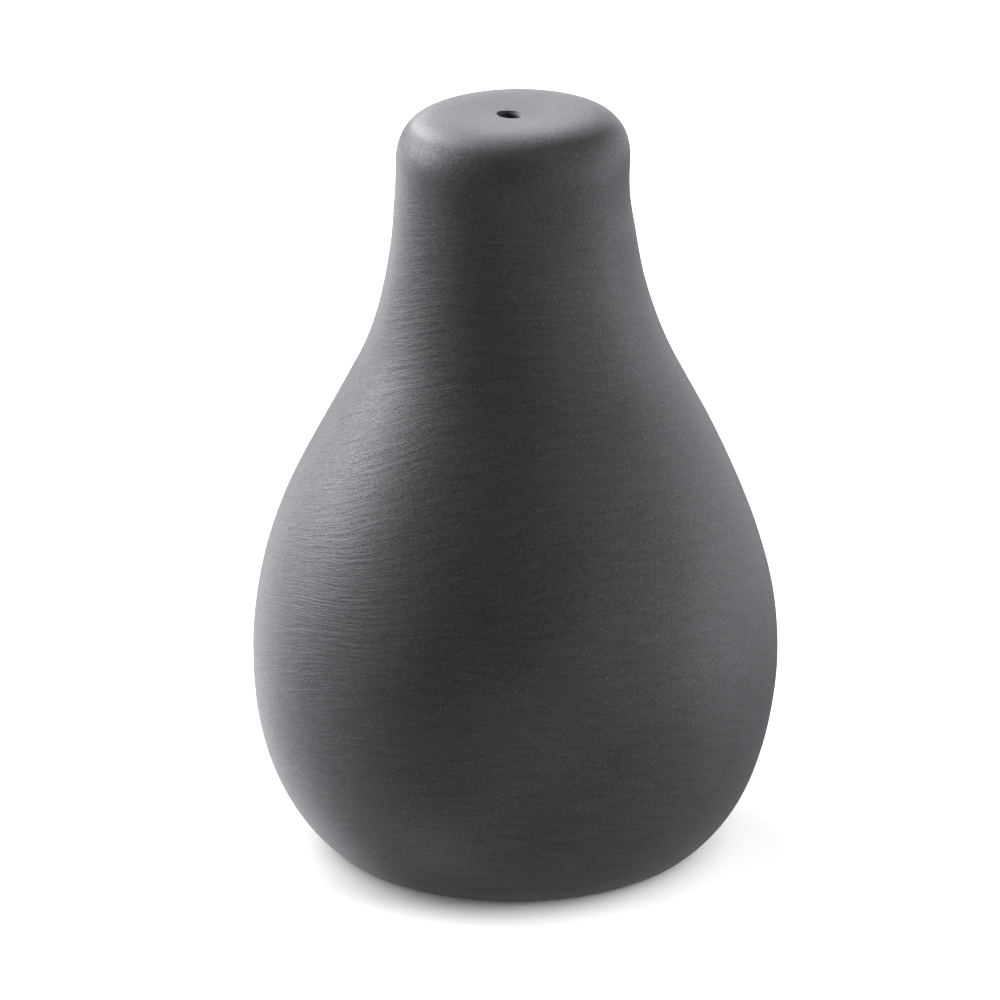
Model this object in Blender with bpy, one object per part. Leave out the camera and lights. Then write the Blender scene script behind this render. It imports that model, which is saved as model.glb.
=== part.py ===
"""Pear-shaped ceramic pepper shaker with a pull-out silicone bung in its base.

Metres, +Z up. The foot stands on Z = 0 and the body's axis is the Z axis.
"""

import math

import bmesh
import bpy

# Outer form of the body
BODY_HEIGHT = 0.0800
BELLY_RADIUS = 0.0280
BELLY_LEVEL = 0.26          # height of the widest ring, as a share of the body height
NECK_RADIUS = 0.0123
FOOT_RADIUS = 0.0202
FOOT_SOFTENING = 0.0006
CROWN_ROUND_WIDTH = 0.0031  # the crown's edge rounds over further down than inwards
CROWN_ROUND_HEIGHT = 0.0050
CROWN_DISH = 0.0003

# Pour hole
POUR_RADIUS = 0.0012
POUR_LIP = 0.0005
POUR_OFFSET_X = -0.0004
POUR_OFFSET_Y = 0.0010

# Cast wall
WALL = 0.0035
CROWN_THICKNESS = 0.0040
FLOOR_THICKNESS = 0.0035
INNER_ROUND = 0.0022

# Filler hole and bung
FILLER_RADIUS = 0.0100
FIT_GAP = 0.0003
FLANGE_LIP = 0.0025         # how far the flange reaches past the filler hole
FLANGE_THICKNESS = 0.0016
FLANGE_INSET = 0.0009       # how far the flange stays above the table
FINGER_MARGIN = 0.0016      # gap round the flange, for a fingernail
EDGE_SOFTENING = 0.0004
RIB_DEPTH = 0.0005
RIB_COUNT = 2
SKIRT_WALL = 0.0018
SKIRT_OVERREACH = 0.0042    # how far the skirt stands up inside the body
SKIRT_TAPER = 0.0009
GRIP_WIDTH = 0.0025
GRIP_DEPTH = 0.0046

# Facets
BODY_SIDES = 64
BUNG_SIDES = 48

# Sizes that follow from those above
FLANGE_RADIUS = FILLER_RADIUS + FLANGE_LIP
RECESS_RADIUS = FLANGE_RADIUS + FINGER_MARGIN
RECESS_DEPTH = FLANGE_INSET + FLANGE_THICKNESS + FIT_GAP
FLOOR_TOP = RECESS_DEPTH + FLOOR_THICKNESS
CROWN_UNDERSIDE = BODY_HEIGHT - CROWN_THICKNESS
CROWN_RADIUS = NECK_RADIUS - CROWN_ROUND_WIDTH
NECK_HEIGHT = BODY_HEIGHT - CROWN_ROUND_HEIGHT
BELLY_HEIGHT = BELLY_LEVEL * BODY_HEIGHT

# Control points of the pear's side. The first number runs from 0 at the inner radius of the
# stretch to 1 at the belly, the second from 0 at the bottom of the stretch to 1 at its top.
LOWER_SIDE_SHARES = ((0.0, 0.0), (0.69, 0.20), (1.0, 0.59), (1.0, 1.0))
UPPER_SIDE_SHARES = (
    (1.0, 0.0), (1.0, 0.112), (0.906, 0.210),
    (0.809, 0.285), (0.672, 0.392), (0.449, 0.504),
    (0.284, 0.597), (0.141, 0.679), (0.0, 0.815), (0.0, 1.0),
)
QUARTER_TURN_HANDLE = 0.5523


def cubic(controls, steps):
    """Points along one cubic curve, from its first control point to its last."""
    points = []
    for i in range(steps + 1):
        t = i / steps
        s = 1.0 - t
        weights = (s * s * s, 3.0 * s * s * t, 3.0 * s * t * t, t * t * t)
        r = sum(w * c[0] for w, c in zip(weights, controls))
        z = sum(w * c[1] for w, c in zip(weights, controls))
        points.append((r, z))
    return points


def soft_corner(before, corner, after, reach, steps):
    """Points that round a corner, starting and ending at a distance of reach from it."""
    ends = []
    for other in (before, after):
        length = math.dist(corner, other)
        share = min(reach / length, 0.5)
        ends.append((
            corner[0] + (other[0] - corner[0]) * share,
            corner[1] + (other[1] - corner[1]) * share,
        ))
    first, last = ends
    points = []
    for i in range(steps + 1):
        t = i / steps
        s = 1.0 - t
        points.append((
            s * s * first[0] + 2.0 * s * t * corner[0] + t * t * last[0],
            s * s * first[1] + 2.0 * s * t * corner[1] + t * t * last[1],
        ))
    return points


def pear_side(steps):
    """The outer side of the pear, from the foot's edge up to where the crown rounds over."""

    def lower(share, level):
        return (FOOT_RADIUS + share * (BELLY_RADIUS - FOOT_RADIUS), level * BELLY_HEIGHT)

    def upper(share, level):
        rise = NECK_HEIGHT - BELLY_HEIGHT
        return (NECK_RADIUS + share * (BELLY_RADIUS - NECK_RADIUS), BELLY_HEIGHT + level * rise)

    points = cubic([lower(*c) for c in LOWER_SIDE_SHARES], steps + 2)
    for start in range(0, len(UPPER_SIDE_SHARES) - 1, 3):
        stretch = [upper(*c) for c in UPPER_SIDE_SHARES[start:start + 4]]
        points += cubic(stretch, steps)[1:]
    return points


def inner_side(levels):
    """The inner side of the wall at even heights, a wall's thickness in from the outside."""
    offset = []
    outer = pear_side(40)
    for i in range(1, len(outer) - 1):
        dr = outer[i + 1][0] - outer[i - 1][0]
        dz = outer[i + 1][1] - outer[i - 1][1]
        length = math.hypot(dr, dz)
        offset.append((outer[i][0] - WALL * dz / length, outer[i][1] + WALL * dr / length))
    offset.append((NECK_RADIUS - WALL, BODY_HEIGHT))

    def radius_at(height):
        for low, high in zip(offset, offset[1:]):
            if low[1] <= height <= high[1]:
                share = (height - low[1]) / (high[1] - low[1])
                return low[0] + share * (high[0] - low[0])
        return offset[0][0]

    rise = CROWN_UNDERSIDE - FLOOR_TOP
    heights = [FLOOR_TOP + rise * i / levels for i in range(levels + 1)]
    return [(radius_at(h), h) for h in heights]


def crown(steps):
    """The crown's rounded shoulder, its shallow dish and the lip of the pour hole."""
    rise = CROWN_ROUND_HEIGHT * QUARTER_TURN_HANDLE
    run = CROWN_ROUND_WIDTH * QUARTER_TURN_HANDLE
    points = cubic((
        (NECK_RADIUS, NECK_HEIGHT),
        (NECK_RADIUS, NECK_HEIGHT + rise),
        (CROWN_RADIUS + run, BODY_HEIGHT),
        (CROWN_RADIUS, BODY_HEIGHT),
    ), steps)
    lip = POUR_RADIUS + POUR_LIP
    for i in range(1, steps):
        r = CROWN_RADIUS + (lip - CROWN_RADIUS) * i / (steps - 1)
        fall = 0.5 * (1.0 + math.cos(math.pi * (r - lip) / (CROWN_RADIUS - lip)))
        points.append((r, BODY_HEIGHT - CROWN_DISH * fall))
    rim = points[-1]
    points += soft_corner(
        rim, (POUR_RADIUS, rim[1]), (POUR_RADIUS, rim[1] - 2.0 * POUR_LIP), POUR_LIP, 3)[1:]
    return points


def body_profile():
    """The closed outline of the body's wall, from the foot up the outside and down the inside."""
    side = pear_side(6)
    ring_inner = (RECESS_RADIUS, 0.0)
    profile = soft_corner(ring_inner, side[0], side[1], FOOT_SOFTENING, 2)
    profile += side[1:-1]
    profile += crown(6)
    profile.append((POUR_RADIUS, CROWN_UNDERSIDE))

    inner = inner_side(14)
    inner.reverse()
    profile += soft_corner((POUR_RADIUS, CROWN_UNDERSIDE), inner[0], inner[1], INNER_ROUND, 3)
    profile += inner[1:-1]
    floor_edge = (FILLER_RADIUS, FLOOR_TOP)
    profile += soft_corner(inner[-2], inner[-1], floor_edge, INNER_ROUND, 3)

    mouth = (FILLER_RADIUS, RECESS_DEPTH)
    ceiling = (RECESS_RADIUS, RECESS_DEPTH)
    profile += soft_corner(inner[-1], floor_edge, mouth, EDGE_SOFTENING, 2)
    profile += soft_corner(floor_edge, mouth, ceiling, EDGE_SOFTENING, 2)
    profile += soft_corner(mouth, ceiling, ring_inner, EDGE_SOFTENING, 2)
    profile += soft_corner(ceiling, ring_inner, side[0], EDGE_SOFTENING, 2)
    return profile


def bung_profile():
    """The closed outline of the bung's wall. Z = 0 is the ceiling of the body's recess."""
    flange_top = -FIT_GAP
    flange_bottom = flange_top - FLANGE_THICKNESS
    rib_radius = FILLER_RADIUS - FIT_GAP
    skirt_radius = rib_radius - RIB_DEPTH
    skirt_top = FLOOR_THICKNESS + SKIRT_OVERREACH
    hollow_radius = skirt_radius - SKIRT_WALL
    hollow_top = skirt_top - SKIRT_WALL

    rim_low = (FLANGE_RADIUS, flange_bottom)
    rim_high = (FLANGE_RADIUS, flange_top)
    root = (skirt_radius, flange_top)
    mouth = (hollow_radius, flange_bottom)
    profile = soft_corner(mouth, rim_low, rim_high, EDGE_SOFTENING, 2)
    profile += soft_corner(rim_low, rim_high, root, EDGE_SOFTENING, 2)
    profile.append(root)

    pitch = FLOOR_THICKNESS / RIB_COUNT
    for i in range(RIB_COUNT):
        middle = pitch * (i + 0.5)
        profile.append((skirt_radius, middle - 0.36 * pitch))
        profile.append((rib_radius, middle - 0.12 * pitch))
        profile.append((rib_radius, middle + 0.12 * pitch))
        profile.append((skirt_radius, middle + 0.36 * pitch))

    shoulder = (skirt_radius, FLOOR_THICKNESS)
    tip = (skirt_radius - SKIRT_TAPER, skirt_top)
    profile.append(shoulder)
    profile += soft_corner(shoulder, tip, (0.0, skirt_top), 2.0 * EDGE_SOFTENING, 3)
    profile.append((0.0, skirt_top))
    profile.append((0.0, hollow_top))
    dome = (hollow_radius - SKIRT_TAPER, hollow_top)
    profile += soft_corner((0.0, hollow_top), dome, mouth, 2.0 * EDGE_SOFTENING, 3)
    profile += soft_corner(dome, mouth, rim_low, EDGE_SOFTENING, 2)
    return profile


def turned_mesh(name, profile, sides):
    """A solid turned about the Z axis from a closed outline of radii and heights."""
    mesh = bpy.data.meshes.new(name)
    bm = bmesh.new()
    verts = [bm.verts.new((r, 0.0, z)) for r, z in profile]
    edges = [bm.edges.new((a, b)) for a, b in zip(verts, verts[1:] + verts[:1])]
    bmesh.ops.spin(
        bm, geom=verts + edges, cent=(0.0, 0.0, 0.0), axis=(0.0, 0.0, 1.0),
        angle=2.0 * math.pi, steps=sides, use_merge=True)
    bmesh.ops.remove_doubles(bm, verts=bm.verts, dist=1e-6)
    on_axis = [e for e in bm.edges if all(math.hypot(v.co.x, v.co.y) < 1e-7 for v in e.verts)]
    bmesh.ops.delete(bm, geom=on_axis, context="EDGES")
    bmesh.ops.recalc_face_normals(bm, faces=bm.faces)
    bm.to_mesh(mesh)
    bm.free()
    return mesh


def shift_pour_hole(mesh):
    """Moves the hand-pierced hole off the crown's centre and eases the crown after it."""
    lip = POUR_RADIUS + POUR_LIP
    for vert in mesh.vertices:
        if vert.co.z < CROWN_UNDERSIDE - 1e-7:
            continue
        r = math.hypot(vert.co.x, vert.co.y)
        ease = min(max((CROWN_RADIUS - r) / (CROWN_RADIUS - lip), 0.0), 1.0)
        ease = ease * ease * (3.0 - 2.0 * ease)
        vert.co.x += POUR_OFFSET_X * ease
        vert.co.y += POUR_OFFSET_Y * ease


def principled(name, colour, roughness):
    """A plain Principled material."""
    material = bpy.data.materials.new(name)
    material.use_nodes = True
    shader = material.node_tree.nodes["Principled BSDF"]
    shader.inputs["Base Color"].default_value = (*colour, 1.0)
    shader.inputs["Roughness"].default_value = roughness
    shader.inputs["Metallic"].default_value = 0.0
    material.diffuse_color = (*colour, 1.0)
    return material


def finish(mesh, material):
    """Smooth shading with creases, and the piece's own material."""
    mesh.materials.append(material)
    mesh.shade_smooth()
    mesh.set_sharp_from_angle(angle=math.radians(35.0))


def add_body():
    """The cast body, standing on its foot ring."""
    mesh = turned_mesh("shaker_body", body_profile(), BODY_SIDES)
    shift_pour_hole(mesh)
    finish(mesh, principled("unglazed_slate_ceramic", (0.050, 0.049, 0.053), 0.75))
    body = bpy.data.objects.new("shaker_body", mesh)
    bpy.context.collection.objects.link(body)
    return body


def add_bung(body):
    """The bung, with its origin on the pull axis at the ceiling of the base recess."""
    mesh = turned_mesh("base_stopper", bung_profile(), BUNG_SIDES)
    finish(mesh, principled("milky_silicone", (0.62, 0.62, 0.60), 0.5))
    bung = bpy.data.objects.new("base_stopper", mesh)
    bpy.context.collection.objects.link(bung)
    bung.parent = body
    bung.location = (0.0, 0.0, RECESS_DEPTH)

    flange_bottom = -FIT_GAP - FLANGE_THICKNESS
    hollow_radius = FILLER_RADIUS - FIT_GAP - RIB_DEPTH - SKIRT_WALL
    bm = bmesh.new()
    bmesh.ops.create_cube(bm, size=1.0)
    bmesh.ops.scale(
        bm, vec=(GRIP_WIDTH, 2.0 * hollow_radius + SKIRT_WALL, GRIP_DEPTH), verts=bm.verts)
    bmesh.ops.translate(
        bm, vec=(0.0, 0.0, flange_bottom + 0.5 * GRIP_DEPTH + EDGE_SOFTENING), verts=bm.verts)
    long_edges = [e for e in bm.edges if abs(e.verts[0].co.y - e.verts[1].co.y) > hollow_radius]
    bmesh.ops.bevel(
        bm, geom=long_edges, offset=0.3 * GRIP_WIDTH, offset_type="OFFSET", segments=3,
        profile=0.5, affect="EDGES")
    bar_mesh = bpy.data.meshes.new("grip_bar")
    bm.to_mesh(bar_mesh)
    bm.free()
    bar = bpy.data.objects.new("grip_bar", bar_mesh)
    bpy.context.collection.objects.link(bar)
    bar.parent = bung
    bar.hide_render = True
    bar.display_type = "WIRE"

    union = bung.modifiers.new("grip_bar", "BOOLEAN")
    union.operation = "UNION"
    union.solver = "EXACT"
    union.object = bar
    return bung


def main():
    """Clears the scene and builds both pieces."""
    for old in list(bpy.data.objects):
        bpy.data.objects.remove(old, do_unlink=True)
    body = add_body()
    add_bung(body)


main()
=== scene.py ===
"""A pear-shaped pepper shaker of unglazed slate ceramic, with a silicone bung in its base.

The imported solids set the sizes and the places. This script turns the pear and the bung again
with their finer form, gives them their finishes, and sets up the studio of the photograph.
"""

import logging
import math
from collections.abc import Callable, Sequence
from dataclasses import dataclass
from enum import Enum
from typing import Any

import bpy
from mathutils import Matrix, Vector


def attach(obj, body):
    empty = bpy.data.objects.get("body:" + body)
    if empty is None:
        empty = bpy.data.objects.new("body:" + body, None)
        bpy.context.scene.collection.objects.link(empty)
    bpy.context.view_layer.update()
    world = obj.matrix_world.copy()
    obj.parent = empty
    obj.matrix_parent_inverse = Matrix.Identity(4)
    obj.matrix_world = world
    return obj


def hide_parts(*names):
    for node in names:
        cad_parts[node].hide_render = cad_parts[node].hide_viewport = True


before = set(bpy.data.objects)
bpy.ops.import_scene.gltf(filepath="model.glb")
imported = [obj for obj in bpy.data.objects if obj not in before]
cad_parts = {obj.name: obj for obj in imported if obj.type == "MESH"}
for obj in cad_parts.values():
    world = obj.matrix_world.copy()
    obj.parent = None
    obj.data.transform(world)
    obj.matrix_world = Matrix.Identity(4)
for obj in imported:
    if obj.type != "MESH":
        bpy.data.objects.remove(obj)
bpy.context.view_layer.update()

LOG = logging.getLogger("pepper_shaker")
MM = 0.001
ROUND_HANDLE = 0.5523       # handle of a cubic curve that draws a quarter turn
WELD = 1e-6                 # points nearer than this become one
NEAR_RING = 2e-6            # how near a ring a point counts as on it
SPECK_CORE = 0.4            # share of a speck's radius that has its full strength
SPECK_STEP = 0.02           # how soft the choice of the cells with a speck is
MIX_LOW, MIX_HIGH, MIX_RESULT = 6, 7, 2     # colour sockets of a Mix node

Point = tuple[float, float]
Colour = tuple[float, float, float, float]


class Body(Enum):
    """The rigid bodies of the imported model."""

    SHAKER = "shaker"
    STOPPER = "stopper"


class Slot(Enum):
    """The record's material slots."""

    CERAMIC = "unglazed_ceramic"
    SILICONE = "silicone"


# Shader sums


class Wire:
    """The output of a shader node, which takes part in sums as a number does."""

    def __init__(self, board: "Board", socket: bpy.types.NodeSocket) -> None:
        """Keeps the output and the board that it belongs to.

        Args:
            board: The board that new nodes go on.
            socket: The output socket.
        """
        self.board = board
        self.socket = socket

    def _math(self, operation: str, *values: Any) -> "Wire":
        """One Math node.

        Args:
            operation: The node's operation.
            values: Wires or numbers, in the order of its sockets.

        Returns:
            The node's result.
        """
        return self.board.node(
            "ShaderNodeMath", {"operation": operation}, dict(enumerate(values)))

    def __add__(self, other: Any) -> "Wire":
        """The sum."""
        return self._math("ADD", self, other)

    def __radd__(self, other: Any) -> "Wire":
        """The sum, with the number first."""
        return self._math("ADD", other, self)

    def __sub__(self, other: Any) -> "Wire":
        """The difference."""
        return self._math("SUBTRACT", self, other)

    def __mul__(self, other: Any) -> "Wire":
        """The product."""
        return self._math("MULTIPLY", self, other)

    def __rmul__(self, other: Any) -> "Wire":
        """The product, with the number first."""
        return self._math("MULTIPLY", other, self)

    def __pow__(self, other: Any) -> "Wire":
        """The power."""
        return self._math("POWER", self, other)

    def __abs__(self) -> "Wire":
        """The size without its sign."""
        return self._math("ABSOLUTE", self)

    def ramp(self, low: float, high: float) -> "Wire":
        """A soft step.

        Args:
            low: The value that gives 0.
            high: The value that gives 1. It may be less than low.

        Returns:
            A value from 0 to 1.
        """
        return self.board.node(
            "ShaderNodeMapRange", {"interpolation_type": "SMOOTHSTEP"},
            {"Value": self, "From Min": low, "From Max": high})


class Board:
    """The node tree of one material."""

    def __init__(self, name: str) -> None:
        """Makes an empty material.

        Args:
            name: The material's name.
        """
        self.material = bpy.data.materials.new(name)
        self.material.use_nodes = True
        self.tree = self.material.node_tree
        self.tree.nodes.clear()

    def node(self, kind: str, settings: dict[str, Any] | None = None,
             inputs: dict[Any, Any] | None = None, output: Any = 0) -> Wire:
        """Adds a node.

        Args:
            kind: The node's type.
            settings: Its own settings, set before its sockets.
            inputs: Values or wires, by the socket's name or number.
            output: The name or number of the output that is wanted.

        Returns:
            That output.
        """
        made = self.tree.nodes.new(kind)
        for key, value in (settings or {}).items():
            setattr(made, key, value)
        for key, value in (inputs or {}).items():
            if isinstance(value, Wire):
                self.tree.links.new(value.socket, made.inputs[key])
            else:
                made.inputs[key].default_value = value
        return Wire(self, made.outputs[output])

    def place(self) -> Wire:
        """The place on the piece, in metres."""
        return self.node("ShaderNodeTexCoord", output="Object")

    def split(self, vector: Wire) -> tuple[Wire, Wire, Wire]:
        """The three parts of a vector.

        Args:
            vector: The vector.

        Returns:
            Its X, Y and Z.
        """
        parts = self.node("ShaderNodeSeparateXYZ", inputs={0: vector})
        sockets = parts.socket.node.outputs
        return Wire(self, sockets[0]), Wire(self, sockets[1]), Wire(self, sockets[2])

    def join(self, x: Any, y: Any, z: Any) -> Wire:
        """A vector of three parts.

        Args:
            x: The X part.
            y: The Y part.
            z: The Z part.

        Returns:
            The vector.
        """
        return self.node("ShaderNodeCombineXYZ", inputs={0: x, 1: y, 2: z})

    def noise(self, vector: Wire, per_metre: float, detail: float, rough: float = 0.5) -> Wire:
        """Soft noise.

        Args:
            vector: The place.
            per_metre: How many waves there are in a metre.
            detail: How many finer layers it has.
            rough: How strong each finer layer is.

        Returns:
            A value round 0.5.
        """
        return self.node(
            "ShaderNodeTexNoise", {"noise_dimensions": "3D"},
            {"Vector": vector, "Scale": per_metre, "Detail": detail, "Roughness": rough})

    def drawn_noise(self, x: Wire, y: Wire, line: Wire, along: float, across: float,
                    detail: float, rough: float = 0.5) -> Wire:
        """Noise that is drawn out into lines.

        Args:
            x: The place along X.
            y: The place along Y.
            line: The place across the lines.
            along: How many waves there are in a metre along the lines.
            across: How many waves there are in a metre across them.
            detail: How many finer layers it has.
            rough: How strong each finer layer is.

        Returns:
            A value round 0.5.
        """
        return self.noise(self.join(x * along, y * along, line * across), 1.0, detail, rough)

    def specks(self, vector: Wire, per_metre: float, radius: float, share: float) -> Wire:
        """Scattered round specks.

        Args:
            vector: The place.
            per_metre: How many cells there are in a metre.
            radius: A speck's radius, as a share of a cell.
            share: The share of cells that hold a speck.

        Returns:
            1 in a speck and 0 elsewhere.
        """
        near = self.node(
            "ShaderNodeTexVoronoi", {"feature": "F1"}, {"Vector": vector, "Scale": per_metre},
            "Distance")
        chance = self.node(
            "ShaderNodeSeparateColor",
            inputs={0: Wire(self, near.socket.node.outputs["Color"])})
        chosen = chance.ramp(1.0 - share, 1.0 - share + SPECK_STEP)
        return near.ramp(radius, SPECK_CORE * radius) * chosen

    def blend(self, low: Any, high: Any, share: Wire) -> Wire:
        """A mix of two colours.

        Args:
            low: The colour, or wire, where share is 0.
            high: The colour, or wire, where share is 1.
            share: The mask.

        Returns:
            The mixed colour.
        """
        return self.node(
            "ShaderNodeMix", {"data_type": "RGBA"},
            {"Factor": share, MIX_LOW: low, MIX_HIGH: high}, MIX_RESULT)

    def bump(self, height: Wire, depth: float, under: Wire | None = None) -> Wire:
        """Relief on the surface.

        Args:
            height: The relief, from 0 to 1.
            depth: How deep 1 is, in metres.
            under: Another relief to lay this on.

        Returns:
            The bent normal.
        """
        inputs: dict[str, Any] = {"Strength": 1.0, "Distance": depth, "Height": height}
        if under is not None:
            inputs["Normal"] = under
        return self.node("ShaderNodeBump", inputs=inputs)

    def finish(self, **sockets: Any) -> bpy.types.Material:
        """Ends the tree in a Principled surface.

        Args:
            sockets: Values or wires of its sockets, with _ for a space in a name.

        Returns:
            The material.
        """
        inputs = {key.replace("_", " "): value for key, value in sockets.items()}
        surface = self.node("ShaderNodeBsdfPrincipled", inputs=inputs)
        end = self.tree.nodes.new("ShaderNodeOutputMaterial")
        self.tree.links.new(surface.socket, end.inputs["Surface"])
        return self.material


# Finishes


@dataclass(frozen=True)
class UnglazedSlate:
    """Slate-black ceramic, sponged while it was leather-hard and fired without a glaze.

    Each Point is a soft step along X or Z: where it gives 0, and where it gives 1.
    """

    clay: Colour = (0.016, 0.0158, 0.0168, 1.0)
    chalky: Colour = (0.038, 0.0375, 0.0398, 1.0)
    speck: Colour = (0.090, 0.089, 0.093, 1.0)
    roughness: float = 0.53
    specular: float = 0.122
    coat_roughness: float = 0.5
    coat_ior: float = 1.27
    sheen: float = 0.1
    sheen_roughness: float = 0.5
    stroke_depth: float = 0.064 * MM
    grain_depth: float = 0.021 * MM
    lump_depth: float = 0.025 * MM
    stroke_slant: float = 0.34
    stroke_wander: float = 3.4 * MM
    stroke_waver: float = 0.4 * MM
    stroke_climb: float = 0.24
    climb_start: Point = (26.0 * MM, 40.0 * MM)
    climb_end: Point = (62.0 * MM, 44.0 * MM)
    below_crown: Point = (75.2 * MM, 71.8 * MM)
    left_half: Point = (10.0 * MM, -4.0 * MM)
    left_edge: Point = (-12.0 * MM, -24.0 * MM)

    def material(self) -> bpy.types.Material:
        """Builds the finish.

        Returns:
            The material.
        """
        board = Board("unglazed_slate_ceramic")
        place = board.place()
        x, y, z = board.split(place)
        below_crown = z.ramp(*self.below_crown)

        # The sponge's strokes run round on a slant, and climb to the right on the shoulder
        wander = board.noise(place, 48.0, 1.0) - 0.5
        waver = board.noise(place, 200.0, 1.0) - 0.5
        climb = z.ramp(*self.climb_start) * z.ramp(*self.climb_end)
        line = (z + self.stroke_slant * y + self.stroke_wander * wander
                + self.stroke_waver * waver - self.stroke_climb * climb * x)
        strokes = board.drawn_noise(x, y, line, 200.0, 1700.0, 3.0, 0.62)
        hairs = board.drawn_noise(x, y, line, 260.0, 5200.0, 2.0, 0.55)
        streak = board.drawn_noise(x, y, line, 250.0, 2600.0, 2.0) - 0.5
        scratch = abs(strokes - 0.5).ramp(0.040, 0.0)
        ridges = strokes.ramp(0.25, 0.75) * 0.55 + hairs * 0.40 - scratch * 0.08

        # They are deepest at the left, and end below the crown
        cloud = board.noise(place, 75.0, 2.0)
        pressed = x.ramp(*self.left_half) * 0.75 + x.ramp(*self.left_edge) * 0.80 + 0.25
        sponged = below_crown * pressed * (cloud.ramp(0.30, 0.62) * 0.45 + 0.55)

        # The fired body has lumps, grain, pits and grit
        lumps = board.noise(place, 210.0, 1.0)
        grain = board.noise(place, 4200.0, 2.0, 0.7)
        salt = board.noise(place, 7600.0, 0.0)
        pits = board.specks(place, 1900.0, 0.17, 0.10)
        grit = board.specks(place, 1700.0, 0.15, 0.22)

        tone = ((cloud - 0.5) * 0.5 + streak * below_crown * 0.60
                + (grain - 0.5) * 0.25 + 0.5)
        colour = board.blend(self.clay, self.chalky, tone.ramp(0.0, 1.0))
        colour = board.blend(colour, self.speck, grit * 0.8)
        rough = self.roughness + (grain - 0.5) * 0.7 + (cloud - 0.5) * 0.10
        glassy = grain.ramp(0.42, 0.70) * 0.90 + grit * 0.60

        swell = board.bump(lumps, self.lump_depth)
        skin = board.bump(grain * 0.5 + salt * 1.2 - pits * 0.3 + grit, self.grain_depth, swell)
        relief = board.bump(ridges * sponged, self.stroke_depth, skin)
        return board.finish(
            Base_Color=colour, Roughness=rough, Normal=relief, IOR=1.5,
            Specular_IOR_Level=self.specular, Coat_Weight=glassy,
            Coat_Roughness=self.coat_roughness, Coat_IOR=self.coat_ior,
            Sheen_Weight=self.sheen, Sheen_Roughness=self.sheen_roughness)


@dataclass(frozen=True)
class MilkySilicone:
    """Soft, natural silicone, a little cloudy, with the fine turning marks of its mould."""

    milk: Colour = (0.50, 0.50, 0.485, 1.0)
    haze: Colour = (0.60, 0.60, 0.585, 1.0)
    lint: Colour = (0.30, 0.29, 0.28, 1.0)
    roughness: float = 0.46
    mark_depth: float = 0.006 * MM
    glow_depth: float = 1.6 * MM

    def material(self) -> bpy.types.Material:
        """Builds the finish.

        Returns:
            The material.
        """
        board = Board("milky_silicone")
        place = board.place()
        x, y, z = board.split(place)
        reach = (x * x + y * y) ** 0.5
        marks = board.noise(board.join(reach, 0.0, z), 2600.0, 2.0)
        cloud = board.noise(place, 260.0, 3.0)
        dust = board.specks(place, 420.0, 0.10, 0.08)
        colour = board.blend(self.milk, self.haze, cloud.ramp(0.3, 0.7))
        colour = board.blend(colour, self.lint, dust * 0.6)
        relief = board.bump(marks * 0.7 + cloud * 0.3, self.mark_depth)
        return board.finish(
            Base_Color=colour, Roughness=self.roughness + (cloud - 0.5) * 0.2, Normal=relief,
            IOR=1.41, Subsurface_Weight=0.35, Subsurface_Radius=(1.0, 0.95, 0.85),
            Subsurface_Scale=self.glow_depth)


@dataclass(frozen=True)
class StudioPaper:
    """White, matte backdrop paper."""

    white: Colour = (0.86, 0.86, 0.86, 1.0)
    tooth: Colour = (0.88, 0.88, 0.88, 1.0)

    def material(self) -> bpy.types.Material:
        """Builds the finish.

        Returns:
            The material.
        """
        board = Board("studio_paper")
        fibre = board.noise(board.place(), 900.0, 2.0)
        return board.finish(
            Base_Color=board.blend(self.white, self.tooth, fibre), Roughness=1.0, IOR=1.3,
            Specular_IOR_Level=0.0)


# Modelling


@dataclass(frozen=True)
class Stretch:
    """A stretch of a half-profile, drawn as cubic curves end to end.

    The controls run anchor, handle, handle, anchor, and so on, as radius and height. Each
    curve is cut into the given number of edges.
    """

    controls: tuple[Point, ...]
    cuts: int


def straight(start: Point, end: Point, cuts: int) -> Stretch:
    """A straight stretch.

    Args:
        start: Its first point.
        end: Its last point.
        cuts: The number of its edges.

    Returns:
        The stretch.
    """
    thirds = tuple(
        (start[0] + (end[0] - start[0]) * i / 3.0, start[1] + (end[1] - start[1]) * i / 3.0)
        for i in range(4))
    return Stretch(thirds, cuts)


def quarter(start: Point, corner: Point, end: Point, cuts: int) -> Stretch:
    """A stretch that rounds a corner.

    Args:
        start: Its first point.
        corner: The corner that it rounds.
        end: Its last point.
        cuts: The number of its edges.

    Returns:
        The stretch.
    """
    handles = tuple(
        (p[0] + (corner[0] - p[0]) * ROUND_HANDLE, p[1] + (corner[1] - p[1]) * ROUND_HANDLE)
        for p in (start, end))
    return Stretch((start, handles[0], handles[1], end), cuts)


@dataclass(frozen=True)
class Nudge:
    """A sideways move of a band of a piece: its heights, the move and how far it fades out."""

    low: float
    high: float
    shift: float
    reach: float


def easing(reach: float) -> dict[str, Any]:
    """The settings of a move that fades out.

    Args:
        reach: How far from the selection it fades out.

    Returns:
        Settings of Blender's transform tools.
    """
    return {"use_proportional_edit": True, "proportional_edit_falloff": "SMOOTH",
            "proportional_size": reach}


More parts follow.
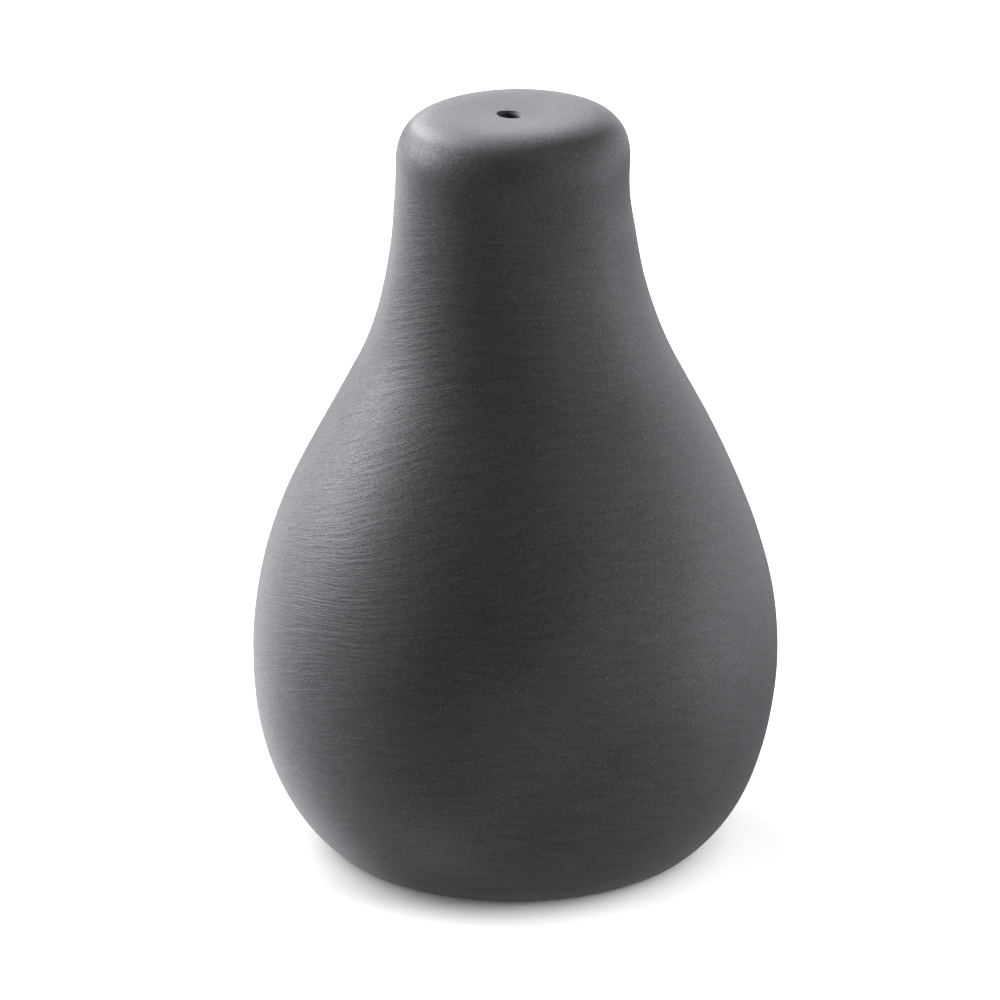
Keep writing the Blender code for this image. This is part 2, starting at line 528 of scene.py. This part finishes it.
class Bench:
    """The steps that shape one piece in edit mode."""

    def __init__(self, piece: bpy.types.Object) -> None:
        """Puts a piece on the bench.

        Args:
            piece: The piece to shape.
        """
        self.piece = piece

    @classmethod
    def turn_on_lathe(cls, name: str, profile: Sequence[Stretch], sides: int) -> "Bench":
        """Draws a half-profile in the XZ plane and spins it about the Z axis.

        Args:
            name: The new piece's name.
            profile: The stretches, end to end, round the whole section.
            sides: The number of sides of the turned piece.

        Returns:
            The bench with the turned piece on it.
        """
        bpy.ops.object.select_all(action="DESELECT")
        bpy.ops.curve.primitive_bezier_curve_add(radius=MM)
        drawing = bpy.context.object
        drawing.name = name
        drawing.data.splines.clear()
        for stretch in profile:
            cls._draw(drawing.data, stretch)
        bpy.ops.object.convert(target="MESH")
        piece = bpy.context.object
        piece.data.name = name
        bpy.ops.object.mode_set(mode="EDIT")
        bpy.ops.mesh.select_all(action="SELECT")
        bpy.ops.mesh.remove_doubles(threshold=WELD)
        bpy.ops.mesh.spin(
            steps=sides, angle=math.tau, center=(0.0, 0.0, 0.0), axis=(0.0, 0.0, 1.0))
        bpy.ops.mesh.select_all(action="SELECT")
        bpy.ops.mesh.remove_doubles(threshold=WELD)
        bpy.ops.mesh.normals_make_consistent(inside=False)
        bpy.ops.object.mode_set(mode="OBJECT")
        return cls(piece)

    @staticmethod
    def _draw(curve: bpy.types.Curve, stretch: Stretch) -> None:
        """Adds one stretch to a curve.

        Args:
            curve: The curve to add to.
            stretch: The stretch to draw.
        """
        spline = curve.splines.new("BEZIER")
        spline.resolution_u = stretch.cuts
        marks = [Vector((r, 0.0, z)) for r, z in stretch.controls]
        anchors = marks[::3]
        spline.bezier_points.add(len(anchors) - 1)
        for i, anchor in enumerate(anchors):
            point = spline.bezier_points[i]
            point.handle_left_type = point.handle_right_type = "FREE"
            point.co = anchor
            point.handle_left = marks[3 * i - 1] if i else anchor
            point.handle_right = marks[3 * i + 1] if i + 1 < len(anchors) else anchor

    def take(self) -> None:
        """Makes the piece the active one, and the only one that is selected."""
        bpy.ops.object.select_all(action="DESELECT")
        self.piece.select_set(True)
        bpy.context.view_layer.objects.active = self.piece

    def pick(self, test: Callable[[Vector], bool]) -> None:
        """Selects vertices by their place, and enters edit mode.

        Args:
            test: Says whether a vertex at a place is wanted.
        """
        self.take()
        bpy.ops.object.mode_set(mode="EDIT")
        bpy.ops.mesh.select_mode(type="VERT")
        bpy.ops.mesh.select_all(action="DESELECT")
        bpy.ops.object.mode_set(mode="OBJECT")
        wanted = [test(v.co) for v in self.piece.data.vertices]
        self.piece.data.vertices.foreach_set("select", wanted)
        bpy.ops.object.mode_set(mode="EDIT")

    def done(self) -> None:
        """Leaves edit mode."""
        bpy.ops.object.mode_set(mode="OBJECT")

    def soften_ring(self, ring: Point, width: float, cuts: int) -> None:
        """Bevels the ring of edges at a radius and height.

        Args:
            ring: The ring's radius and height.
            width: The bevel's width.
            cuts: The number of its segments.
        """
        def on_ring(co: Vector) -> bool:
            """Says whether a place is on the ring."""
            return (abs(co.xy.length - ring[0]) < NEAR_RING
                    and abs(co.z - ring[1]) < NEAR_RING)

        self.pick(on_ring)
        bpy.ops.mesh.bevel(offset=width, segments=cuts, profile=0.5, affect="EDGES")
        self.done()

    def ease(self, shift: Sequence[float], reach: float) -> None:
        """Moves what is selected, eases what lies near it after it, and leaves edit mode.

        Args:
            shift: How far it moves.
            reach: How far from the selection the move fades out.
        """
        bpy.ops.transform.translate(value=shift, **easing(reach))
        self.done()

    def stretch(self, shares: Point, turn: float, reach: float) -> None:
        """Stretches what is selected about the Z axis along two turned directions.

        Args:
            shares: The stretch along the turned X and the turned Y.
            turn: How far the directions are turned from X and Y, in radians.
            reach: How far from the selection the stretch fades out.
        """
        settings = {"orient_type": "GLOBAL", "center_override": (0.0, 0.0, 0.0), **easing(reach)}
        bpy.ops.transform.rotate(value=turn, orient_axis="Z", **settings)
        bpy.ops.transform.resize(value=(*shares, 1.0), **settings)
        bpy.ops.transform.rotate(value=-turn, orient_axis="Z", **settings)
        self.done()

    def push(self, nudge: Nudge) -> None:
        """Moves a band of the piece along X, and eases what lies near it after it.

        Args:
            nudge: The band and its move.
        """
        self.pick(lambda co: nudge.low <= co.z <= nudge.high)
        self.ease((nudge.shift, 0.0, 0.0), nudge.reach)

    def tip(self, low: float, angle: float, reach: float) -> None:
        """Tips the top of the piece about Y, and eases what lies below it after it.

        Args:
            low: The height that the tipped top starts at.
            angle: The tip, in radians. It raises the right side.
            reach: How far below the top the tip fades out.
        """
        self.pick(lambda co: co.z >= low)
        bpy.ops.transform.rotate(
            value=angle, orient_axis="Y", orient_type="GLOBAL", center_override=(0.0, 0.0, low),
            **easing(reach))
        self.done()

    def apply(self, kind: str, **settings: Any) -> None:
        """Adds a modifier and applies it.

        Args:
            kind: The modifier's type.
            settings: Its settings.
        """
        modifier = self.piece.modifiers.new(kind.lower(), kind)
        for key, value in settings.items():
            setattr(modifier, key, value)
        self.take()
        bpy.ops.object.modifier_apply(modifier=modifier.name)

    def shade(self, angle: float) -> None:
        """Shades the piece smooth, apart from edges sharper than an angle.

        Args:
            angle: The angle, in radians.
        """
        self.take()
        bpy.ops.object.shade_smooth_by_angle(angle=angle)


# The pieces


@dataclass
class PearBody:
    """The cast pear: its outer side, crown, pour hole, hollow and recessed base.

    A reach is how far from the worked place a move fades out. The shares place the
    handles of the crown's curves between its rim, its crest and the pour hole's lip.
    """

    belly_radius: float = 28.0 * MM
    belly_height: float = 20.8 * MM
    neck_radius: float = 12.3 * MM
    neck_height: float = 75.0 * MM
    foot_radius: float = 20.2 * MM
    rim: Point = (9.97 * MM, 79.82 * MM)
    rim_slope: float = math.radians(25.5)
    rim_handles: Point = (3.04 * MM, 1.13 * MM)
    crest: Point = (5.9 * MM, 80.49 * MM)
    rim_share: float = 0.834
    crest_shares: Point = (0.40, 0.62)
    lip_shares: Point = (0.25, 0.75)
    dish: float = 0.12 * MM
    pour_radius: float = 1.2 * MM
    pour_lip: float = 0.45 * MM
    pour_margin: float = 0.6 * MM
    pour_offset: Point = (-0.31 * MM, -0.45 * MM)
    pour_offset_reach: float = 7.0 * MM
    pour_slant: Point = (0.2 * MM, -0.2 * MM)
    pour_slant_height: float = 3.0 * MM
    pour_stretch: Point = (0.80, 1.10)
    pour_stretch_turn: float = math.radians(45.0)
    pour_stretch_reach: float = 4.0 * MM
    wall: float = 3.5 * MM
    ceiling: float = 76.0 * MM
    ceiling_round: float = 2.0 * MM
    floor_thickness: float = 3.5 * MM
    floor_round: float = 18.2 * MM
    floor_handles: Point = (22.3 * MM, 14.0 * MM)
    recess_depth: float = 2.8 * MM
    recess_radius: float = 14.1 * MM
    filler_radius: float = 10.0 * MM
    edge: float = 0.4 * MM
    foot_edge: float = 0.6 * MM
    crown_tilt: float = math.radians(1.32)
    crown_start: float = 1.0 * MM       # above the neck's level
    crown_reach: float = 20.0 * MM
    dent: Nudge = Nudge(72.2 * MM, 73.8 * MM, -0.24 * MM, 5.5 * MM)
    dent_side: float = 11.5 * MM
    wander: tuple[Nudge, ...] = (
        Nudge(71.5 * MM, 81.0 * MM, -0.20 * MM, 12.0 * MM),
        Nudge(64.0 * MM, 69.5 * MM, -0.15 * MM, 6.5 * MM),
        Nudge(47.0 * MM, 54.2 * MM, 0.155 * MM, 8.0 * MM),
        Nudge(33.5 * MM, 37.0 * MM, -0.09 * MM, 7.0 * MM),
        Nudge(10.5 * MM, 13.5 * MM, -0.10 * MM, 7.0 * MM))
    sides: int = 208
    side_cuts: int = 44
    crown_cuts: int = 16
    smooth_below: float = math.radians(40.0)

    def _lower(self, share: float, level: float) -> Point:
        """A point between the foot's edge and the belly, by its shares of radius and height."""
        return (self.foot_radius + share * (self.belly_radius - self.foot_radius),
                level * self.belly_height)

    def _upper(self, share: float, level: float) -> Point:
        """A point between the belly and the neck, by its shares of radius and height."""
        return (self.neck_radius + share * (self.belly_radius - self.neck_radius),
                self.belly_height + level * (self.neck_height - self.belly_height))

    def _side(self) -> tuple[Point, ...]:
        """The outer side, from the foot's edge to the neck.

        Returns:
            Anchors and handles.
        """
        lower = ((0.0, 0.0), (0.69, 0.20), (1.0, 0.59))
        upper = ((1.0, 0.0), (1.0, 0.112), (0.906, 0.210),
                 (0.809, 0.285), (0.672, 0.392), (0.449, 0.504),
                 (0.284, 0.597), (0.141, 0.679), (0.0, 0.815), (0.0, 1.0))
        return (*(self._lower(*p) for p in lower), *(self._upper(*p) for p in upper))

    def _hollow(self) -> tuple[Point, ...]:
        """The inner side of the wall, from the neck down to the belly.

        Returns:
            Anchors and handles.
        """
        outer = self._side()[3:][::-1]
        inner: list[Point] = []
        for i in range(0, len(outer), 3):
            near = outer[i + 1] if i + 1 < len(outer) else outer[i - 1]
            sign = 1.0 if i + 1 < len(outer) else -1.0
            run = (near[0] - outer[i][0]) * sign
            fall = (near[1] - outer[i][1]) * sign
            length = math.hypot(run, fall)
            shift = (self.wall * fall / length, -self.wall * run / length)
            for p in outer[max(i - 1, 0):i + 2]:
                inner.append((p[0] + shift[0], p[1] + shift[1]))
        return tuple(inner)

    def _crown(self) -> tuple[Point, ...]:
        """The crown, from the neck over its rounded rim and its crest down to the pour hole.

        Returns:
            Anchors and handles.
        """
        neck, rim, crest = (self.neck_radius, self.neck_height), self.rim, self.crest
        lip = (self.pour_radius, crest[1] - self.dish)
        rise, run = math.sin(self.rim_slope), math.cos(self.rim_slope)
        back = self.rim_handles[1]
        onward = self.rim_share * (crest[1] - rim[1]) / rise
        outward, inward = self.crest_shares
        near, deep = self.lip_shares
        return (neck, (neck[0], neck[1] + self.rim_handles[0]),
                (rim[0] + back * run, rim[1] - back * rise),
                rim, (rim[0] - onward * run, rim[1] + onward * rise),
                (crest[0] + outward * (rim[0] - crest[0]), crest[1]),
                crest, (lip[0] + inward * (crest[0] - lip[0]), crest[1]),
                (lip[0] + near * (crest[0] - lip[0]), crest[1] - deep * self.dish), lip)

    def profile(self) -> list[Stretch]:
        """The section of the wall, all the way round.

        Returns:
            Its stretches, end to end.
        """
        side, crown, hollow = self._side(), self._crown(), self._hollow()
        under = self.ceiling
        floor = self.recess_depth + self.floor_thickness
        floor_round = (self.floor_round, floor)
        bulge, sink = self.floor_handles
        ceiling = (hollow[0][0] - self.ceiling_round, under)
        e = self.edge
        bore, recess, depth = self.filler_radius, self.recess_radius, self.recess_depth
        return [
            Stretch(side, self.side_cuts),
            Stretch(crown, self.crown_cuts),
            straight(crown[-1], (self.pour_radius, under), 3),
            straight((self.pour_radius, under), ceiling, 4),
            quarter(ceiling, (hollow[0][0], under), hollow[0], 4),
            Stretch(hollow, 8),
            Stretch((hollow[-1], (hollow[-1][0], sink), (bulge, floor), floor_round), 10),
            straight(floor_round, (bore + e, floor), 3),
            quarter((bore + e, floor), (bore, floor), (bore, floor - e), 3),
            straight((bore, floor - e), (bore, depth + e), 2),
            quarter((bore, depth + e), (bore, depth), (bore + e, depth), 3),
            straight((bore + e, depth), (recess - e, depth), 3),
            quarter((recess - e, depth), (recess, depth), (recess, depth - e), 3),
            straight((recess, depth - e), (recess, e), 2),
            quarter((recess, e), (recess, 0.0), (recess + e, 0.0), 3),
            straight((recess + e, 0.0), side[0], 4),
        ]

    def build(self) -> bpy.types.Object:
        """Turns the pear and works its edges and its crown.

        Returns:
            The piece.
        """
        bench = Bench.turn_on_lathe("pear_body", self.profile(), self.sides)
        bench.soften_ring((self.foot_radius, 0.0), self.foot_edge, 4)
        bench.soften_ring((self.pour_radius, self.crest[1] - self.dish), self.pour_lip, 6)
        self._pierce(bench)
        self._lean(bench)
        bench.shade(self.smooth_below)
        return bench.piece

    def _pierce(self, bench: Bench) -> None:
        """Draws the pour hole off the centre and out of round, as a slanting pin leaves it.

        Args:
            bench: The bench with the turned pear.
        """
        under = self.ceiling - WELD
        over = self.ceiling + self.pour_slant_height
        rim = self.pour_radius + self.pour_margin
        bench.pick(lambda co: under < co.z < over and co.xy.length < rim)
        bpy.ops.transform.translate(value=(*self.pour_slant, 0.0))
        bench.done()
        rim += math.hypot(*self.pour_slant)
        bench.pick(lambda co: co.z > under and co.xy.length < rim)
        bench.stretch(self.pour_stretch, self.pour_stretch_turn, self.pour_stretch_reach)
        bench.pick(lambda co: co.z > under and co.xy.length < rim)
        bench.ease((*self.pour_offset, 0.0), self.pour_offset_reach)

    def _lean(self, bench: Bench) -> None:
        """Gives the axis a slight wander, tips the crown and dents the neck's right side.

        Args:
            bench: The bench with the turned pear.
        """
        for nudge in self.wander:
            bench.push(nudge)
        bench.tip(self.neck_height + self.crown_start, self.crown_tilt, self.crown_reach)
        dent = self.dent
        bench.pick(lambda co: co.x > self.dent_side and dent.low < co.z < dent.high)
        bench.ease((dent.shift, 0.0, 0.0), dent.reach)


@dataclass
class FillerBung:
    """The bung: a flange, a ribbed skirt, a hollow underside and a grip bar."""

    seat: float = 2.8 * MM
    gap: float = 0.3 * MM
    filler_radius: float = 10.0 * MM
    flange_radius: float = 12.5 * MM
    flange_thickness: float = 1.6 * MM
    ribs: int = 2
    rib_depth: float = 0.5 * MM
    rib_share: float = 0.36         # half a rib's height, as a share of the ribs' pitch
    rib_ease: float = 0.18          # length of its curves' handles, as the same share
    floor_thickness: float = 3.5 * MM
    skirt_wall: float = 1.8 * MM
    overreach: float = 4.2 * MM
    taper: float = 0.9 * MM
    grip_width: float = 2.5 * MM
    grip_depth: float = 4.6 * MM
    grip_edge: float = 0.8 * MM
    grip_hold: float = 0.9          # how much of both walls the bar's ends reach into
    edge: float = 0.4 * MM
    sides: int = 128
    smooth_below: float = math.radians(35.0)

    def profile(self) -> list[Stretch]:
        """The section of the bung's wall.

        Returns:
            Its stretches, end to end.
        """
        e = self.edge
        top = self.seat - self.gap
        low = top - self.flange_thickness
        rib = self.filler_radius - self.gap
        skirt = rib - self.rib_depth
        tip = self.seat + self.floor_thickness + self.overreach
        hollow = skirt - self.skirt_wall
        dome = tip - self.skirt_wall
        flange = self.flange_radius
        stretches = [
            straight((hollow + e, low), (flange - e, low), 4),
            quarter((flange - e, low), (flange, low), (flange, low + e), 4),
            straight((flange, low + e), (flange, top - e), 2),
            quarter((flange, top - e), (flange, top), (flange - e, top), 4),
            straight((flange - e, top), (skirt + e, top), 3),
            quarter((skirt + e, top), (skirt, top), (skirt, top + e), 3),
        ]
        pitch = self.floor_thickness / self.ribs
        last = (skirt, top + e)
        for i in range(self.ribs):
            middle = self.seat + pitch * (i + 0.5)
            foot = (skirt, middle - self.rib_share * pitch)
            peak = (rib, middle)
            head = (skirt, middle + self.rib_share * pitch)
            rise = self.rib_ease * pitch
            stretches += [
                straight(last, foot, 1),
                Stretch((foot, (skirt, foot[1] + rise), (rib, middle - rise), peak,
                         (rib, middle + rise), (skirt, head[1] - rise), head), 5),
            ]
            last = head
        shoulder = (skirt, self.seat + self.floor_thickness)
        rim = (skirt - self.taper, tip)
        r = 2.0 * e
        stretches += [
            straight(last, shoulder, 1),
            straight(shoulder, (rim[0], tip - r), 4),
            quarter((rim[0], tip - r), rim, (rim[0] - r, tip), 5),
            straight((rim[0] - r, tip), (0.0, tip), 6),
            straight((0.0, dome), (hollow - self.taper - r, dome), 6),
            quarter((hollow - self.taper - r, dome), (hollow - self.taper, dome),
                    (hollow - self.taper, dome - r), 5),
            straight((hollow - self.taper, dome - r), (hollow, low + e), 6),
            quarter((hollow, low + e), (hollow, low), (hollow + e, low), 4),
        ]
        return stretches

    def _grip(self) -> bpy.types.Object:
        """The bar across the hollow underside.

        Returns:
            The bar, before it is joined to the bung.
        """
        low = self.seat - self.gap - self.flange_thickness + self.edge
        hollow = self.filler_radius - self.gap - self.rib_depth - self.skirt_wall
        bpy.ops.object.select_all(action="DESELECT")
        bpy.ops.mesh.primitive_cube_add(size=1.0, location=(0.0, 0.0, low + self.grip_depth / 2.0))
        bar = bpy.context.object
        bar.name = "grip_bar"
        length = 2.0 * hollow + self.grip_hold * self.skirt_wall
        bar.scale = (self.grip_width, length, self.grip_depth)
        bpy.ops.object.transform_apply(location=True, rotation=True, scale=True)
        bpy.ops.object.mode_set(mode="EDIT")
        bpy.ops.mesh.select_all(action="DESELECT")
        bpy.ops.mesh.select_mode(type="EDGE")
        bpy.ops.object.mode_set(mode="OBJECT")
        for edge in bar.data.edges:
            ends = [bar.data.vertices[i].co for i in edge.vertices]
            edge.select = abs(ends[0].y - ends[1].y) > hollow
        bpy.ops.object.mode_set(mode="EDIT")
        bpy.ops.mesh.bevel(offset=self.grip_edge, segments=5, profile=0.5, affect="EDGES")
        bpy.ops.object.mode_set(mode="OBJECT")
        return bar

    def build(self) -> bpy.types.Object:
        """Turns the bung and joins its grip bar to it.

        Returns:
            The piece.
        """
        bench = Bench.turn_on_lathe("filler_bung", self.profile(), self.sides)
        bar = self._grip()
        bench.apply("BOOLEAN", operation="UNION", solver="EXACT", object=bar)
        bpy.data.objects.remove(bar, do_unlink=True)
        bench.shade(self.smooth_below)
        return bench.piece


# The studio


@dataclass
class Softbox:
    """A softbox far enough off to light the whole of what it is turned on evenly.

    The azimuth runs from the camera's side to the right, in degrees. The spread is how wide
    the box looks, in degrees, and the light is what it gives a surface that faces it, in W/m2.
    """

    name: str
    azimuth: float
    elevation: float
    spread: float
    light: float

    def build(self, lit: bpy.types.Collection, tint: Sequence[float]) -> bpy.types.Object:
        """Hangs the light.

        Args:
            lit: The things that the box is turned on. It is flagged off all others.
            tint: The light's colour.

        Returns:
            The light.
        """
        turn = math.radians(self.azimuth)
        rise = math.radians(self.elevation)
        way = Vector((math.sin(turn) * math.cos(rise), -math.cos(turn) * math.cos(rise),
                      math.sin(rise)))
        lamp = bpy.data.lights.new(self.name, "SUN")
        lamp.angle = math.radians(self.spread)
        lamp.energy = self.light
        lamp.color = tint
        box = bpy.data.objects.new(self.name, lamp)
        box.location = way
        box.rotation_euler = way.to_track_quat("Z", "Y").to_euler()
        box.light_linking.receiver_collection = lit
        bpy.context.scene.collection.objects.link(box)
        return box


@dataclass
class Studio:
    """The paper floor, the lights, the air and the camera."""

    floor_size: float = 6.0
    floor_cuts: int = 3
    air: float = 0.01
    shaker_tint: tuple[float, float, float] = (0.987, 0.982, 1.031)
    paper_tint: tuple[float, float, float] = (1.0, 1.0, 1.0)
    boxes: tuple[Softbox, ...] = (
        Softbox("key_left", 250.0, 20.0, 28.0, 8.25),
        Softbox("high_back", 215.0, 32.0, 16.0, 4.65),
        Softbox("strip_back", 200.0, 20.0, 16.0, 1.02),
        Softbox("centre_back", 180.0, 20.0, 16.0, 0.47),
        Softbox("low_back", 150.0, 6.0, 43.0, 0.88),
        Softbox("low_right", 110.0, 6.0, 43.0, 1.93),
        Softbox("front_right", 50.0, 6.0, 43.0, 1.53),
        Softbox("high_right", 60.0, 62.0, 43.0, 1.53))
    bounces: tuple[Softbox, ...] = (
        Softbox("bounce_back", 225.0, -22.0, 50.0, 1.69),
        Softbox("bounce_left", 300.0, -60.0, 30.0, 1.25),
        Softbox("bounce_right", 90.0, -8.0, 30.0, 1.23),
        Softbox("bounce_front", 0.0, -22.0, 50.0, 1.17))
    paper_boxes: tuple[Softbox, ...] = (
        Softbox("paper_back", 225.0, 28.0, 50.0, 4.30),
        Softbox("paper_left", 270.0, 50.0, 60.0, 1.43),
        Softbox("paper_front", 315.0, 50.0, 60.0, 0.74),
        Softbox("paper_high_right", 90.0, 50.0, 60.0, 3.15),
        Softbox("paper_right", 90.0, 28.0, 50.0, 1.75))
    target: tuple[float, float, float] = (0.0, 0.0, 0.040)
    distance: float = 0.700
    elevation: float = 20.81
    lens: float = 238.2
    sensor: float = 36.0
    shift: Point = (-0.0154, -0.02275)

    def build_floor(self) -> bpy.types.Object:
        """Lays the paper.

        The paper is seen by the camera alone. What it throws back on the shaker comes from the
        bounces, which shine up through it.

        Returns:
            The floor.
        """
        bpy.ops.object.select_all(action="DESELECT")
        bpy.ops.mesh.primitive_plane_add(size=self.floor_size)
        floor = bpy.context.object
        floor.name = "paper_floor"
        bpy.ops.object.mode_set(mode="EDIT")
        bpy.ops.mesh.subdivide(number_cuts=self.floor_cuts)
        bpy.ops.object.mode_set(mode="OBJECT")
        floor.data.materials.append(StudioPaper().material())
        floor.visible_diffuse = floor.visible_glossy = floor.visible_shadow = False
        return floor

    def build_lights(self, pear: bpy.types.Object,
                     whites: Sequence[bpy.types.Object]) -> list[bpy.types.Object]:
        """Hangs the lights and sets the air.

        Args:
            pear: The dark pear, which the boxes and the bounces are turned on.
            whites: The paper and the pale bung, which the paper's boxes are turned on.

        Returns:
            The lights.
        """
        world = bpy.data.worlds.new("studio_air")
        world.use_nodes = True
        nodes, links = world.node_tree.nodes, world.node_tree.links
        air = nodes["Background"]
        air.inputs["Color"].default_value = (1.0, 1.0, 1.0, 1.0)
        seen = nodes.new("ShaderNodeMapRange")
        seen.inputs["To Min"].default_value = self.air
        links.new(nodes.new("ShaderNodeLightPath").outputs["Is Camera Ray"], seen.inputs["Value"])
        links.new(seen.outputs["Result"], air.inputs["Strength"])
        bpy.context.scene.world = world
        shaker = bpy.data.collections.new("lit_shaker")
        shaker.objects.link(pear)
        paper = bpy.data.collections.new("lit_paper")
        for white in whites:
            paper.objects.link(white)
        lights = [box.build(shaker, self.shaker_tint) for box in (*self.boxes, *self.bounces)]
        return lights + [box.build(paper, self.paper_tint) for box in self.paper_boxes]

    def build_camera(self) -> bpy.types.Object:
        """Sets up the camera of the photograph.

        Returns:
            The camera.
        """
        rise = math.radians(self.elevation)
        lens = bpy.data.cameras.new("photo_camera")
        lens.lens = self.lens
        lens.sensor_width = self.sensor
        lens.shift_x, lens.shift_y = self.shift
        camera = bpy.data.objects.new("photo_camera", lens)
        camera.location = Vector(self.target) + self.distance * Vector(
            (0.0, -math.cos(rise), math.sin(rise)))
        camera.rotation_euler = (math.pi / 2.0 - rise, 0.0, 0.0)
        bpy.context.scene.collection.objects.link(camera)
        bpy.context.scene.camera = camera
        return camera


def dress(piece: bpy.types.Object, finish: UnglazedSlate | MilkySilicone, node: str, body: Body) -> None:
    """Gives a piece its finish and lets it stand for its solid.

    Args:
        piece: The piece.
        finish: Its finish.
        node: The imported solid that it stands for.
        body: The body that it moves with.
    """
    piece.data.materials.clear()
    piece.data.materials.append(finish.material())
    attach(piece, body.value)
    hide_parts(node)
    LOG.info("%s: %d faces, rides on %s", piece.name, len(piece.data.polygons), body.value)


def main() -> None:
    """Builds the shaker and its studio."""
    logging.basicConfig(level=logging.INFO, format="%(name)s: %(message)s")
    pear = PearBody().build()
    dress(pear, UnglazedSlate(), "shaker_body", Body.SHAKER)
    bung = FillerBung().build()
    dress(bung, MilkySilicone(), "base_stopper", Body.STOPPER)

    studio = Studio()
    floor = studio.build_floor()
    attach(floor, Body.STOPPER.value)
    lights = studio.build_lights(pear, (floor, bung))
    studio.build_camera()
    bpy.context.scene.view_settings.view_transform = "Standard"
    LOG.info("studio: %d lights", len(lights))


if __name__ == "__main__":
    main()
